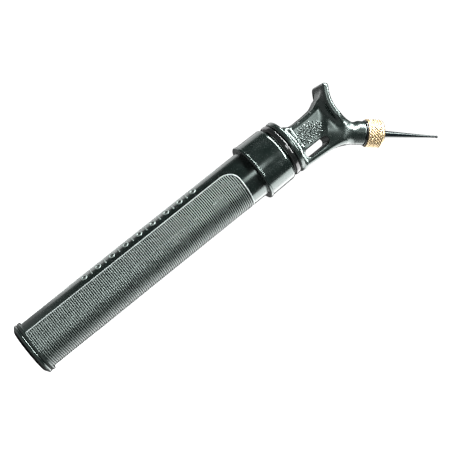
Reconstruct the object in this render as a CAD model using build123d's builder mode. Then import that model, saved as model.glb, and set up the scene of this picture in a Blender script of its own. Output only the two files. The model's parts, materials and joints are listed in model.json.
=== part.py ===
from build123d import *
from build123d.topology import SkipClean
from math import cos, degrees, radians, sin, sqrt
import os

# Hand pump (portable tire inflator), millimetres, +Z up.
# It stands on its end cap: the origin is on the barrel axis at the cap's bottom face, and +Z runs
# along the barrel to the head. The nozzle leans towards +X, so the head is symmetric about XZ.

# ---- driving dimensions -------------------------------------------------------------------------
STROKE = 150.0          # travel of the inner cylinder out of the grip sleeve
FIT = 0.1               # radial running clearance
SEAM = 0.05             # gap between pieces that are fixed to each other

SLEEVE_R = 15.95        # smooth barrel, and the crests of the grip ribs
GROOVE_R = 15.45        # bottom of the grooves between ribs
SLEEVE_BORE_R = 13.6
FLANGE_R = 17.4         # the two rings at the foot of the handle
CAP_RING_Z = 3.8        # top of the end cap's own ring
SLEEVE_RING_Z = 6.1     # top of the sleeve's ring
SLEEVE_TOP = 182.9
THREAD_Z = 172.0        # the sleeve is thinner above here, inside the collar
THREAD_R = 15.45

RIB_PITCH = 1.33
GROOVE_MOUTH = 0.83     # width of a groove just above the ribs' crests
GROOVE_FOOT = 0.35
PANEL_HALF_ANGLE = 68.0
PANEL_TOP = 161.5
PANEL_CORNER = 8.5      # radius of the panel's top corners on the rolled-out sleeve
GRIP_TURN = -65.0       # direction of one panel's middle, from +X
MARK_HEIGHT = 0.4       # raised marks on one smooth strip
MARK_ROOT = 1.0         # how far they reach into the wall
MARK_LOW = 52.02        # height of the first one
MARK_PITCH = 5.2
MARK_COUNT = 17
MARK_RING_R = 2.25
MARK_WIDTH = 4.4
MARK_LINE = 1.0

COLLAR_LOW = 172.8
COLLAR_HIGH = 193.4
COLLAR_BEAD_R = 19.25
COLLAR_LOW_R = 18.8
COLLAR_HIGH_R = 18.5
COLLAR_BORE_R = THREAD_R + SEAM

CYL_R = 12.4            # inner cylinder that slides out of the handle
CYL_BORE_R = 11.0
CYL_LOW = 14.0
CYL_HIGH = 200.3
GUIDE_LOW = CYL_LOW + 8.3 + STROKE     # underside of the guide bush, where the stroke ends
GUIDE_SHOULDER = SLEEVE_TOP + SEAM
GUIDE_HIGH = 190.2

ROD_R = 4.0
ROD_LOW = 9.0
ROD_HIGH = 176.0
STUD_R = 2.5
STUD_HIGH = 187.6

RING_R = 18.1           # rubber ring and the head's base flange
BUMPER_LOW = COLLAR_HIGH + 0.3
BUMPER_HIGH = 198.3
FLANGE_LOW = BUMPER_HIGH + SEAM
FLANGE_HIGH = 202.2

SPIGOT_R = CYL_BORE_R - FIT
SPIGOT_LOW = 189.0
CHAMBER_R = 4.2
CHAMBER_HIGH = 205.0
SEAT_HIGH = 193.0
VALVE_LIFT = 1.2
AIRWAY_R = 1.3

HEAD_THICK = 15.4       # across the flat faces of the head
HEAD_BACK_X = -8.3
HEAD_FRONT_X = 18.2
SLOT_X = 12.0
SLOT_LOW = 205.6
SLOT_HIGH = 223.6
SLOT_WIDTH = 5.4
SADDLE_X = 0.5          # axis of the hollow between the head's two arms
SADDLE_Z = 264.1
SADDLE_R = 25.6
PLATE_THICK = 4.2
PLATE_WIDTH = 25.0
ARM_ANGLE = 38.2        # arm tip, from straight down, seen from the saddle axis

NOZZLE_ANGLE = 40.3     # nozzle axis from the barrel axis
NOZZLE_CROSS_Z = 217.8
NECK_LENGTH = 38.4      # from the crossing of the two axes to the nut's seat
NECK_R = 7.75
STUD_OUT_R = 6.2        # threaded end of the neck
STUD_END = 6.0
NOZZLE_SEAT_R = 4.0
THREAD_PITCH = 1.0
NUT_R = 8.95
NUT_LOW = 0.1
NUT_LIP = 10.3
NUT_HIGH = 11.6
SHANK_R = 3.85          # needle adaptor's round foot, gripped by the gasket
SHANK_LOW = 1.1
SHANK_HIGH = 10.0
NEEDLE_BASE_R = 2.25
NEEDLE_TIP_R = 0.75
NEEDLE_TIP_LOW = 43.9    # straight end of the needle
NEEDLE_TIP_HIGH = 47.2
NEEDLE_BALL_R = 0.75    # no wider than the straight end
NEEDLE_HIGH = 49.6

NOZZLE_AXIS = Vector(sin(radians(NOZZLE_ANGLE)), 0, cos(radians(NOZZLE_ANGLE)))
NOZZLE_RADIAL = Vector(cos(radians(NOZZLE_ANGLE)), 0, -sin(radians(NOZZLE_ANGLE)))
NOZZLE_CROSS = Vector(0, 0, NOZZLE_CROSS_Z)
NOZZLE_SEAT = NOZZLE_CROSS + NOZZLE_AXIS * NECK_LENGTH
NOZZLE_PROFILE = Plane(origin=NOZZLE_SEAT, x_dir=NOZZLE_RADIAL, z_dir=(0, -1, 0))
NOZZLE_FRONT = Plane(origin=NOZZLE_SEAT, x_dir=NOZZLE_RADIAL, z_dir=NOZZLE_AXIS)
SADDLE_AXIS = Axis((SADDLE_X, 0, SADDLE_Z), (0, 1, 0))

os.makedirs("parts", exist_ok=True)


# ---- helpers used inside a part's own block -----------------------------------------------------
def turn(points, mode=Mode.ADD, clean=True):
    """Revolve a closed outline of (radius, height) about the barrel axis."""
    with BuildLine(Plane.XZ) as outline:
        Polyline(*points, close=True)
    revolve(Face(outline.wire()), axis=Axis.Z, mode=mode, clean=clean)


def turn_on_nozzle(points, mode=Mode.ADD):
    """Revolve a closed outline of (radius, distance from the nut's seat) about the nozzle axis."""
    with BuildSketch(NOZZLE_PROFILE) as section:
        with BuildLine():
            Polyline(*points, close=True)
        make_face()
    revolve(section.sketch, axis=Axis(NOZZLE_SEAT, NOZZLE_AXIS), mode=mode)


def ring_points(inner, outer, low, high, edge=0.0):
    """Outline of a plain ring whose outer edges are bevelled by edge."""
    if edge == 0:
        return [(inner, low), (outer, low), (outer, high), (inner, high)]
    return [(inner, low), (outer - edge, low), (outer, low + edge), (outer, high - edge),
            (outer - edge, high), (inner, high)]


def finish(part, name):
    """Label a finished piece and write it."""
    part.label = name
    export_step(part, f"parts/{name}.step")


# ---- handle: grip sleeve ------------------------------------------------------------------------
def groove_half_angle(z):
    """Half the arc of the groove at height z, in degrees, shortened in the panel's rounded corners."""
    into_corner = max(0.0, z - (PANEL_TOP - PANEL_CORNER))
    lost = PANEL_CORNER - sqrt(PANEL_CORNER**2 - into_corner**2)
    return PANEL_HALF_ANGLE - degrees(lost / SLEEVE_R)


def groove(z, middle):
    """Cutter for one grip groove at height z, centred on the direction middle."""
    half = groove_half_angle(z)
    start = radians(middle - half)
    meridian = Plane(origin=(0, 0, z), x_dir=(cos(start), sin(start), 0), z_dir=(sin(start), -cos(start), 0))
    with BuildPart() as cutter:
        with BuildSketch(meridian) as section:
            with BuildLine():
                Polyline((GROOVE_R, -GROOVE_FOOT / 2), (SLEEVE_R + 0.1, -GROOVE_MOUTH / 2),
                         (SLEEVE_R + 0.1, GROOVE_MOUTH / 2), (GROOVE_R, GROOVE_FOOT / 2), close=True)
            make_face()
        revolve(section.sketch, axis=Axis.Z, revolution_arc=2 * half)
    return cutter.part


groove_count = int((PANEL_TOP - 0.5 - SLEEVE_RING_Z) / RIB_PITCH)
groove_zs = [SLEEVE_RING_Z + RIB_PITCH * (i + 1) for i in range(groove_count)]
grooves = [groove(z, middle) for z in groove_zs for middle in (GRIP_TURN, GRIP_TURN + 180)]

# Raised marks along one smooth strip: rings and bars in turn.
strip_angle = GRIP_TURN - 90
strip_out = Vector(cos(radians(strip_angle)), sin(radians(strip_angle)), 0)
mark_plane = Plane(origin=(0, 0, 0), x_dir=Vector(0, 0, 1).cross(strip_out), z_dir=strip_out)
with BuildPart() as marks:
    with BuildSketch(mark_plane.offset(SLEEVE_R - MARK_ROOT)):
        for i in range(MARK_COUNT):
            with Locations((0, MARK_LOW + MARK_PITCH * i)):
                if i % 2:
                    Rectangle(MARK_WIDTH, MARK_LINE)
                else:
                    Circle(MARK_RING_R)
                    Circle(MARK_RING_R - MARK_LINE, mode=Mode.SUBTRACT)
    extrude(amount=MARK_ROOT + MARK_HEIGHT)

# The outside is split at every groove, and the split is kept, so each rib's crest is a face of its own
# rather than one comb-shaped face with more than a thousand edges.
with SkipClean(), BuildPart() as grip_sleeve:
    turn([
        (SLEEVE_BORE_R, CAP_RING_Z + SEAM),
        (FLANGE_R - 0.6, CAP_RING_Z + SEAM),
        (FLANGE_R, CAP_RING_Z + 0.65),
        (FLANGE_R, SLEEVE_RING_Z - 0.6),
        (FLANGE_R - 0.6, SLEEVE_RING_Z),
        (SLEEVE_R, SLEEVE_RING_Z),
        *[(SLEEVE_R, z) for z in groove_zs],
        (SLEEVE_R, THREAD_Z - 0.2),
        (THREAD_R, THREAD_Z),
        (THREAD_R, SLEEVE_TOP),
        (SLEEVE_BORE_R, SLEEVE_TOP),
    ], clean=False)
    add(marks.part, clean=False)
    add(grooves, mode=Mode.SUBTRACT, clean=False)
finish(grip_sleeve.part, "grip_sleeve")

# ---- handle: end cap, rod and piston ------------------------------------------------------------
with BuildPart() as end_cap:
    turn([
        (2.2, 4.6), (5.2, 4.6), (5.2, 0.0), (14.6, 0.0), (16.9, 1.7), (FLANGE_R, 2.1),
        (FLANGE_R, CAP_RING_Z - 0.5), (FLANGE_R - 0.5, CAP_RING_Z), (SLEEVE_BORE_R - SEAM, CAP_RING_Z),
        (SLEEVE_BORE_R - SEAM, 12.0), (10.5, 12.0), (10.5, 7.5), (2.2, 7.5),
    ])
finish(end_cap.part, "end_cap")

with BuildPart() as cap_screw:
    turn([(0, 1.6), (3.6, 1.6), (4.6, 2.5), (4.6, 4.55), (2.0, 4.55), (2.0, 20.0), (0, 20.0)])
    with BuildSketch(Plane.XY.offset(1.6)):
        Rectangle(5.0, 0.9)
        Rectangle(0.9, 5.0)
    extrude(amount=1.4, mode=Mode.SUBTRACT)
finish(cap_screw.part, "cap_screw")

with BuildPart() as rod_washer:
    turn(ring_points(2.2, 6.5, 7.6, ROD_LOW - SEAM))
finish(rod_washer.part, "rod_washer")

with BuildPart() as piston_rod:
    turn([
        (2.0 + SEAM, ROD_LOW), (ROD_R, ROD_LOW), (ROD_R, ROD_HIGH), (STUD_R, ROD_HIGH),
        (STUD_R, STUD_HIGH), (0, STUD_HIGH), (0, 21.0), (2.0 + SEAM, 21.0),
    ])
finish(piston_rod.part, "piston_rod")

PISTON_LOW = ROD_HIGH + SEAM
CUP_LOW = PISTON_LOW + 5.0
with BuildPart() as piston:
    turn([
        (STUD_R + SEAM, PISTON_LOW), (8.0, PISTON_LOW), (CYL_BORE_R - FIT, PISTON_LOW + 1.0),
        (CYL_BORE_R - FIT, CUP_LOW - SEAM), (STUD_R + SEAM, CUP_LOW - SEAM),
    ])
finish(piston.part, "piston")

with BuildPart() as piston_cup:
    turn([
        (STUD_R + SEAM, CUP_LOW), (9.6, CUP_LOW), (10.5, CUP_LOW + 1.0), (CYL_BORE_R - 0.03, CUP_LOW + 5.2),
        (CYL_BORE_R - 0.6, CUP_LOW + 5.2), (9.2, CUP_LOW + 1.5), (STUD_R + SEAM, CUP_LOW + 1.5),
    ])
finish(piston_cup.part, "piston_cup")

with BuildPart() as piston_washer:
    turn(ring_points(STUD_R + SEAM, 6.5, CUP_LOW + 1.5 + SEAM, CUP_LOW + 2.5))
finish(piston_washer.part, "piston_washer")

with BuildPart() as piston_nut:
    with BuildSketch(Plane.XY.offset(CUP_LOW + 2.5 + SEAM)):
        RegularPolygon(4.4, 6)
        Circle(STUD_R + SEAM, mode=Mode.SUBTRACT)
    extrude(amount=3.4)
finish(piston_nut.part, "piston_nut")

# ---- handle: collar and what it holds -----------------------------------------------------------
with BuildPart() as collar:
    turn([
        (COLLAR_BORE_R, COLLAR_LOW), (COLLAR_BEAD_R - 0.5, COLLAR_LOW), (COLLAR_BEAD_R, COLLAR_LOW + 0.5),
        (COLLAR_BEAD_R, COLLAR_LOW + 1.3), (COLLAR_LOW_R, COLLAR_LOW + 1.8),
        (COLLAR_HIGH_R, COLLAR_HIGH - 2.2), (COLLAR_HIGH_R - 0.7, COLLAR_HIGH - 0.7),
        (COLLAR_HIGH_R - 2.2, COLLAR_HIGH), (CYL_R + 0.35, COLLAR_HIGH), (CYL_R + 0.35, GUIDE_HIGH + 1.6),
        (COLLAR_BORE_R, GUIDE_HIGH + 1.6),
    ])
finish(collar.part, "collar")

with BuildPart() as guide_bush:
    turn([
        (CYL_R + FIT, GUIDE_LOW), (SLEEVE_BORE_R - SEAM, GUIDE_LOW), (SLEEVE_BORE_R - SEAM, GUIDE_SHOULDER),
        (THREAD_R, GUIDE_SHOULDER), (THREAD_R, GUIDE_HIGH), (CYL_R + FIT, GUIDE_HIGH),
    ])
finish(guide_bush.part, "guide_bush")

with BuildPart() as wiper_seal:
    turn([
        (CYL_R + 0.8, GUIDE_HIGH + SEAM), (THREAD_R, GUIDE_HIGH + SEAM), (THREAD_R, GUIDE_HIGH + 1.55),
        (CYL_R + 0.03, GUIDE_HIGH + 1.55), (CYL_R + 0.03, GUIDE_HIGH + 1.1),
    ])
finish(wiper_seal.part, "wiper_seal")

# ---- sliding cylinder ---------------------------------------------------------------------------
WEAR_LOW = CYL_LOW + 1.6
WEAR_HIGH = CYL_LOW + 6.4
with BuildPart() as cylinder:
    turn([
        (CYL_BORE_R, CYL_LOW), (13.2, CYL_LOW), (13.2, WEAR_LOW - 0.1), (CYL_R, WEAR_LOW - 0.1),
        (CYL_R, WEAR_HIGH + 0.1), (13.2, WEAR_HIGH + 0.1), (13.2, CYL_LOW + 8.0), (CYL_R, CYL_LOW + 8.0),
        (CYL_R, CYL_HIGH), (CYL_BORE_R, CYL_HIGH),
    ])
finish(cylinder.part, "cylinder")

# Split ring in the cylinder's groove: it slides in the sleeve, and the cylinder turns inside it.
with BuildPart() as wear_ring:
    turn(ring_points(CYL_R + FIT, SLEEVE_BORE_R - FIT, WEAR_LOW, WEAR_HIGH))
    with BuildSketch(Plane.XY.offset(WEAR_LOW)):
        with Locations((0, SLEEVE_BORE_R)):
            Rectangle(1.2, 4.0)
    extrude(amount=WEAR_HIGH - WEAR_LOW, mode=Mode.SUBTRACT)
finish(wear_ring.part, "wear_ring")

with BuildPart() as rod_guide:
    turn(ring_points(ROD_R + FIT, CYL_BORE_R - SEAM, CYL_LOW, CYL_LOW + 7.0, 0.5))
    with BuildSketch(Plane.XY.offset(CYL_LOW)):
        with PolarLocations(7.6, 4):
            Circle(1.1)
    extrude(amount=7.0, mode=Mode.SUBTRACT)
finish(rod_guide.part, "rod_guide")

with BuildPart() as bumper_ring:
    turn([
        (CYL_R + SEAM, BUMPER_LOW), (RING_R - 1.6, BUMPER_LOW), (RING_R - 0.5, BUMPER_LOW + 0.6),
        (RING_R, BUMPER_LOW + 1.7), (RING_R, BUMPER_HIGH - 1.3), (RING_R - 0.4, BUMPER_HIGH - 0.5),
        (RING_R - 1.2, BUMPER_HIGH), (CYL_R + SEAM, BUMPER_HIGH),
    ])
finish(bumper_ring.part, "bumper_ring")

# ---- head ---------------------------------------------------------------------------------------
def around_saddle(angle, radius):
    """A point in the XZ plane, angle degrees from straight down, + towards the nozzle."""
    return (SADDLE_X + radius * sin(radians(angle)), SADDLE_Z - radius * cos(radians(angle)))


# Curved palm plate between the arm tip and the neck, thinner in plan at the neck.
with BuildPart() as palm_plate:
    outer = SADDLE_R + PLATE_THICK
    neck_side = 40.0
    with BuildSketch(Plane.XZ):
        with BuildLine():
            ThreePointArc(around_saddle(-ARM_ANGLE, SADDLE_R), around_saddle(0, SADDLE_R),
                          around_saddle(neck_side, SADDLE_R))
            Line(around_saddle(neck_side, SADDLE_R), around_saddle(neck_side, outer))
            ThreePointArc(around_saddle(neck_side, outer), around_saddle(0, outer),
                          around_saddle(-ARM_ANGLE, outer))
            Line(around_saddle(-ARM_ANGLE, outer), around_saddle(-ARM_ANGLE, SADDLE_R))
        make_face()
    extrude(amount=PLATE_WIDTH / 2, both=True)
    tip_x = around_saddle(-ARM_ANGLE, outer)[0]
    with BuildSketch(Plane.XY.offset(FLANGE_HIGH)):
        with BuildLine():
            half = PLATE_WIDTH / 2
            Polyline((tip_x, 0), (tip_x, 8.5), (tip_x + 4.5, half), (5.0, half), (16.0, 7.4), (24.0, 7.4), (24.0, 0))
            mirror(about=Plane.XZ)
        make_face()
    extrude(amount=60, mode=Mode.INTERSECT)

# Fillets that carry the flat faces of the body out to the plate's rims.
with BuildPart() as palm_web:
    with BuildSketch(Plane.XZ):
        with BuildLine():
            ThreePointArc(around_saddle(-24, SADDLE_R + 2), around_saddle(0, SADDLE_R + 2), around_saddle(24, SADDLE_R + 2))
            Line(around_saddle(24, SADDLE_R + 2), around_saddle(24, SADDLE_R + 11))
            ThreePointArc(around_saddle(24, SADDLE_R + 11), around_saddle(0, SADDLE_R + 11),
                          around_saddle(-24, SADDLE_R + 11))
            Line(around_saddle(-24, SADDLE_R + 11), around_saddle(-24, SADDLE_R + 2))
        make_face()
    extrude(amount=11.0, both=True)
    for side in (-1, 1):
        with BuildSketch(Plane.YZ.offset(-30)):
            with Locations((side * 14.2, SADDLE_Z - SADDLE_R - 12.6)):
                Circle(6.5)
        extrude(amount=60, mode=Mode.SUBTRACT)

with BuildPart() as head_body:
    # base flange, the socket for the cylinder, and the spigot inside it
    turn([
        (0, SPIGOT_LOW), (SPIGOT_R, SPIGOT_LOW), (SPIGOT_R, 193.4), (9.3, 193.4), (9.3, 195.8),
        (SPIGOT_R, 195.8), (SPIGOT_R, CYL_HIGH + 0.1), (CYL_R + SEAM, CYL_HIGH + 0.1),
        (CYL_R + SEAM, FLANGE_LOW), (RING_R - 0.8, FLANGE_LOW), (RING_R, FLANGE_LOW + 0.8),
        (RING_R, FLANGE_HIGH - 1.2), (RING_R - 1.2, FLANGE_HIGH), (13.0, FLANGE_HIGH),
        (9.5, FLANGE_HIGH + 1.6), (8.0, FLANGE_HIGH + 5.0), (0, FLANGE_HIGH + 5.0),
    ])
    # flat-faced body
    with BuildSketch(Plane.XZ):
        with BuildLine():
            foot_z = FLANGE_HIGH - 0.5
            arm_root = around_saddle(-26, SADDLE_R + 3)
            neck_root = around_saddle(30, SADDLE_R + 3)
            Polyline((-11.6, foot_z), (HEAD_BACK_X - 0.4, FLANGE_HIGH + 4), (HEAD_BACK_X, FLANGE_HIGH + 12),
                     (HEAD_BACK_X - 0.6, FLANGE_HIGH + 25), around_saddle(-19, SADDLE_R + 9), arm_root,
                     around_saddle(-8, SADDLE_R + 1.0), around_saddle(12, SADDLE_R + 1.0), neck_root,
                     around_saddle(36, SADDLE_R + 11), (20.1, FLANGE_HIGH + 26.8),
                     (HEAD_FRONT_X + 0.5, FLANGE_HIGH + 8), (17.6, foot_z), close=True)
        make_face()
    extrude(amount=HEAD_THICK / 2, both=True)
    add(palm_web.part)
    # neck
    turn_on_nozzle([(0, -26), (6.2, -24), (NECK_R, -17), (NECK_R, -1.5), (NECK_R - 0.5, -1.0), (0, -1.0)])
    add(palm_plate.part)
    # threaded end, with ring grooves for the thread
    crest, root = STUD_OUT_R, STUD_OUT_R - 0.45
    thread = [(crest, 0.4 + THREAD_PITCH * i + dz) if dz != 0.5 else (root, 0.4 + THREAD_PITCH * i + dz)
              for i in range(5) for dz in (0.0, 0.5)]
    turn_on_nozzle([(0, -1.2), (crest, -1.2)] + thread + [(crest, 5.6), (crest - 0.4, STUD_END), (0, STUD_END)])
    # seat for the adaptor, airway, valve chamber
    turn_on_nozzle([(0, 0.8), (NOZZLE_SEAT_R, 0.8), (NOZZLE_SEAT_R, STUD_END + 1), (0, STUD_END + 1)],
                   mode=Mode.SUBTRACT)
    turn_on_nozzle([(0, -NECK_LENGTH), (AIRWAY_R, -NECK_LENGTH), (AIRWAY_R, 2), (0, 2)], mode=Mode.SUBTRACT)
    turn([(0, SPIGOT_LOW - 1), (CHAMBER_R, SPIGOT_LOW - 1), (CHAMBER_R, CHAMBER_HIGH), (AIRWAY_R, CHAMBER_HIGH),
          (AIRWAY_R, NOZZLE_CROSS_Z + 0.6), (0, NOZZLE_CROSS_Z + 0.6)], mode=Mode.SUBTRACT)
    # slot right through the body
    with BuildSketch(Plane.XZ):
        with Locations((SLOT_X, (SLOT_LOW + SLOT_HIGH) / 2)):
            SlotOverall(SLOT_HIGH - SLOT_LOW, SLOT_WIDTH, rotation=90)
    extrude(amount=20, both=True, mode=Mode.SUBTRACT)
finish(head_body.part, "head_body")

with BuildPart() as spigot_seal:
    turn(ring_points(9.3 + SEAM, CYL_BORE_R - SEAM, 193.4 + SEAM, 195.8 - SEAM, 0.6))
finish(spigot_seal.part, "spigot_seal")

with BuildPart() as valve_seat:
    turn([(AIRWAY_R, SPIGOT_LOW), (CHAMBER_R - SEAM, SPIGOT_LOW), (CHAMBER_R - SEAM, SEAT_HIGH), (2.4, SEAT_HIGH),
          (AIRWAY_R, SEAT_HIGH - 0.6)])
finish(valve_seat.part, "valve_seat")

VALVE_LOW = SEAT_HIGH + SEAM
with BuildPart() as valve_disc:
    turn([(0, VALVE_LOW), (3.2, VALVE_LOW), (3.2, VALVE_LOW + 1.2), (1.2, VALVE_LOW + 1.2), (1.2, VALVE_LOW + 4.5),
          (0, VALVE_LOW + 4.5)])
finish(valve_disc.part, "valve_disc")

SPRING_WIRE_R = 0.3
SPRING_R = 2.6
SPRING_LOW = VALVE_LOW + 1.2 + 0.1
SPRING_HIGH = CHAMBER_HIGH - 0.1
with BuildPart() as valve_spring:
    with BuildLine():
        coil = Helix(pitch=1.6, height=SPRING_HIGH - SPRING_LOW - 2 * SPRING_WIRE_R, radius=SPRING_R,
                     center=(0, 0, SPRING_LOW + SPRING_WIRE_R))
    with BuildSketch(Plane(origin=coil @ 0, z_dir=coil % 0)):
        Circle(SPRING_WIRE_R)
    sweep(path=coil)
finish(valve_spring.part, "valve_spring")

# ---- nozzle -------------------------------------------------------------------------------------
with BuildPart() as neck_ring:
    turn_on_nozzle(ring_points(STUD_OUT_R + SEAM, 8.2, -0.95, 0.0, 0.3))
finish(neck_ring.part, "neck_ring")

with BuildPart() as thrust_washer:
    turn_on_nozzle(ring_points(NOZZLE_SEAT_R, STUD_OUT_R - 0.1, STUD_END + 0.05, STUD_END + 0.85))
finish(thrust_washer.part, "thrust_washer")

with BuildPart() as gasket:
    turn_on_nozzle(ring_points(SHANK_R + 0.05, STUD_OUT_R - 0.05, STUD_END + 0.9, NUT_LIP - 0.1))
finish(gasket.part, "gasket")

with BuildPart() as knurled_nut:
    turn_on_nozzle([
        (STUD_OUT_R + FIT, NUT_LOW), (NUT_R - 0.5, NUT_LOW), (NUT_R, NUT_LOW + 0.5), (NUT_R, NUT_HIGH - 2.2),
        (NUT_R - 2.2, NUT_HIGH - 0.2), (NUT_R - 2.6, NUT_HIGH), (4.9, NUT_HIGH), (4.3, NUT_HIGH - 0.6),
        (4.3, NUT_LIP), (STUD_OUT_R + FIT, NUT_LIP),
    ])
finish(knurled_nut.part, "knurled_nut")

with BuildPart() as needle_adaptor:
    turn_on_nozzle([
        (0.45, SHANK_LOW), (SHANK_R - 0.4, SHANK_LOW), (SHANK_R, SHANK_LOW + 0.4), (SHANK_R, SHANK_HIGH - 0.3),
        (SHANK_R - 0.3, SHANK_HIGH), (NEEDLE_BASE_R + 0.2, SHANK_HIGH), (NEEDLE_BASE_R, SHANK_HIGH + 0.6),
        (NEEDLE_TIP_R, NEEDLE_TIP_LOW), (NEEDLE_TIP_R, NEEDLE_TIP_HIGH), (0.55, NEEDLE_TIP_HIGH + 0.3),
        (0.55, NEEDLE_TIP_HIGH + 0.8), (NEEDLE_BALL_R, NEEDLE_TIP_HIGH + 1.2),
        (NEEDLE_BALL_R, NEEDLE_HIGH - 0.5), (0.45, NEEDLE_HIGH),
    ])
finish(needle_adaptor.part, "needle_adaptor")
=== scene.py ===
"""Looks of the hand pump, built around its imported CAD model.

Lengths are millimetres and angles are radians, unless a name says otherwise. The barrel stands along +Z
with its foot at the origin, and the nozzle leans to +X.
"""
import json
import math
import random

import bpy
import numpy as np
from mathutils import Matrix, Vector


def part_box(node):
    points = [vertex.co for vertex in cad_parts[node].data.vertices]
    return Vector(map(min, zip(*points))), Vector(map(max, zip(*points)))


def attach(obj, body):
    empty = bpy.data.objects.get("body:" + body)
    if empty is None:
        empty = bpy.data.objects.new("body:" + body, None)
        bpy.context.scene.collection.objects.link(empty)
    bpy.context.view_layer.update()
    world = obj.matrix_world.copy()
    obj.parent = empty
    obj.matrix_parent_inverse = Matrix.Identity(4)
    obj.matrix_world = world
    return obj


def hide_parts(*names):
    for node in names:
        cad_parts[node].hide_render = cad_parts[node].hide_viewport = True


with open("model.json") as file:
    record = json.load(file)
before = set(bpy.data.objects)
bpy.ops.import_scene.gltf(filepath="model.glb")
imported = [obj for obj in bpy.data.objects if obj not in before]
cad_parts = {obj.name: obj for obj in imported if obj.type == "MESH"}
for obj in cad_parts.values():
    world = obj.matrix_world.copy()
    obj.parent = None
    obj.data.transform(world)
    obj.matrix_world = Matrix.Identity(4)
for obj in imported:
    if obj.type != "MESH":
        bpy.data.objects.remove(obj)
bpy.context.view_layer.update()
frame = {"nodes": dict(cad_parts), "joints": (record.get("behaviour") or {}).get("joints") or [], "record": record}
MM = 0.001
TAU = 2 * math.pi


# ---- places, read from the frame ------------------------------------------------------------------
def span(node, axis):
    """Lowest and highest coordinate of a CAD node along X, Y or Z (0, 1 or 2), in millimetres."""
    low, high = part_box(node)
    return low[axis] / MM, high[axis] / MM


def joint(name):
    return next(j for j in frame["joints"] if j["name"] == name)


RING_FOOT, RING_TOP = span("bumper_ring", 2)
RING_R = span("bumper_ring", 0)[1]
FLANGE_R = span("grip_sleeve", 0)[1]
CAP_R = span("end_cap", 0)[1]
SLEEVE_TOP = span("grip_sleeve", 2)[1]
COLLAR_FOOT, COLLAR_TOP = span("collar", 2)
COLLAR_BEAD_R = span("collar", 0)[1]
RING_WALL = 5.7
CYL_R = RING_R - RING_WALL       # sliding inner cylinder
BARREL_R = 15.95                 # smooth surface of the grip sleeve
SLEEVE_BORE_R = 13.6
SLEEVE_THREAD_R = BARREL_R - 0.5
SLEEVE_RING_FOOT = 3.9           # foot ring of the sleeve, up to RIB_FOOT
RIB_FOOT = 6.1
CAP_RING_TOP = 3.8

NOZZLE = Vector(joint("needle_pull")["axis"]).normalized()
NUT_MIDDLE = 6.0                 # height of the nut's joint over the neck's end face
SEAT = Vector(joint("nut_turn")["pos_m"]) / MM - NOZZLE * NUT_MIDDLE
NUT_R = span("knurled_nut", 1)[1]


# ---- mesh helpers ---------------------------------------------------------------------------------
def make_object(name, verts, faces, body, material):
    """A smooth-shaded mesh piece from vertices in millimetres, riding on a CAD body."""
    mesh = bpy.data.meshes.new(name)
    mesh.from_pydata((np.asarray(verts, float) * MM).tolist(), [], [list(map(int, f)) for f in faces])
    mesh.validate()
    mesh.update()
    mesh.polygons.foreach_set("use_smooth", [True] * len(mesh.polygons))
    obj = bpy.data.objects.new(name, mesh)
    bpy.context.scene.collection.objects.link(obj)
    mesh.materials.append(material)
    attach(obj, body)
    return obj


def soften(points, radius, steps=4):
    """Round the corners of a closed outline; a point's third number is its own radius."""
    pts = [np.array(p[:2], float) for p in points]
    radii = [p[2] if len(p) > 2 else radius for p in points]
    out = []
    for i, corner in enumerate(pts):
        to_prev, to_next = pts[i - 1] - corner, pts[(i + 1) % len(pts)] - corner
        lp, ln = np.linalg.norm(to_prev), np.linalg.norm(to_next)
        to_prev, to_next = to_prev / lp, to_next / ln
        half = math.acos(max(-1.0, min(1.0, float(to_prev @ to_next)))) / 2
        if radii[i] <= 0 or half > 1.52:
            out.append(tuple(corner))
            continue
        back = min(radii[i] / math.tan(half), 0.45 * lp, 0.45 * ln)
        for k in range(steps + 1):
            t = k / steps
            a, c = corner + to_prev * back, corner + to_next * back
            out.append(tuple((1 - t) ** 2 * a + 2 * t * (1 - t) * corner + t * t * c))
    return out


def tube_faces(rings, columns):
    """Quads between closed rings of vertices, with the last ring joined to the first."""
    faces = []
    for i in range(rings):
        j = (i + 1) % rings
        for k in range(columns):
            m = (k + 1) % columns
            faces.append((i * columns + k, i * columns + m, j * columns + m, j * columns + k))
    return faces


def lathe(outline, segments, origin=Vector((0, 0, 0)), axis=Vector((0, 0, 1))):
    """Vertices and quads of a closed (radius, height) outline turned about an axis."""
    side = Vector((axis.z, 0, -axis.x)).normalized()
    across = axis.cross(side)
    angles = np.arange(segments) * TAU / segments
    ring = np.cos(angles)[:, None] * np.array(side) + np.sin(angles)[:, None] * np.array(across)
    verts = np.concatenate([np.array(origin) + r * ring + h * np.array(axis) for r, h in outline])
    return verts, tube_faces(len(outline), segments)


def smoothstep(low, high, x):
    t = np.clip((x - low) / (high - low), 0, 1)
    return t * t * (3 - 2 * t)


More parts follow.
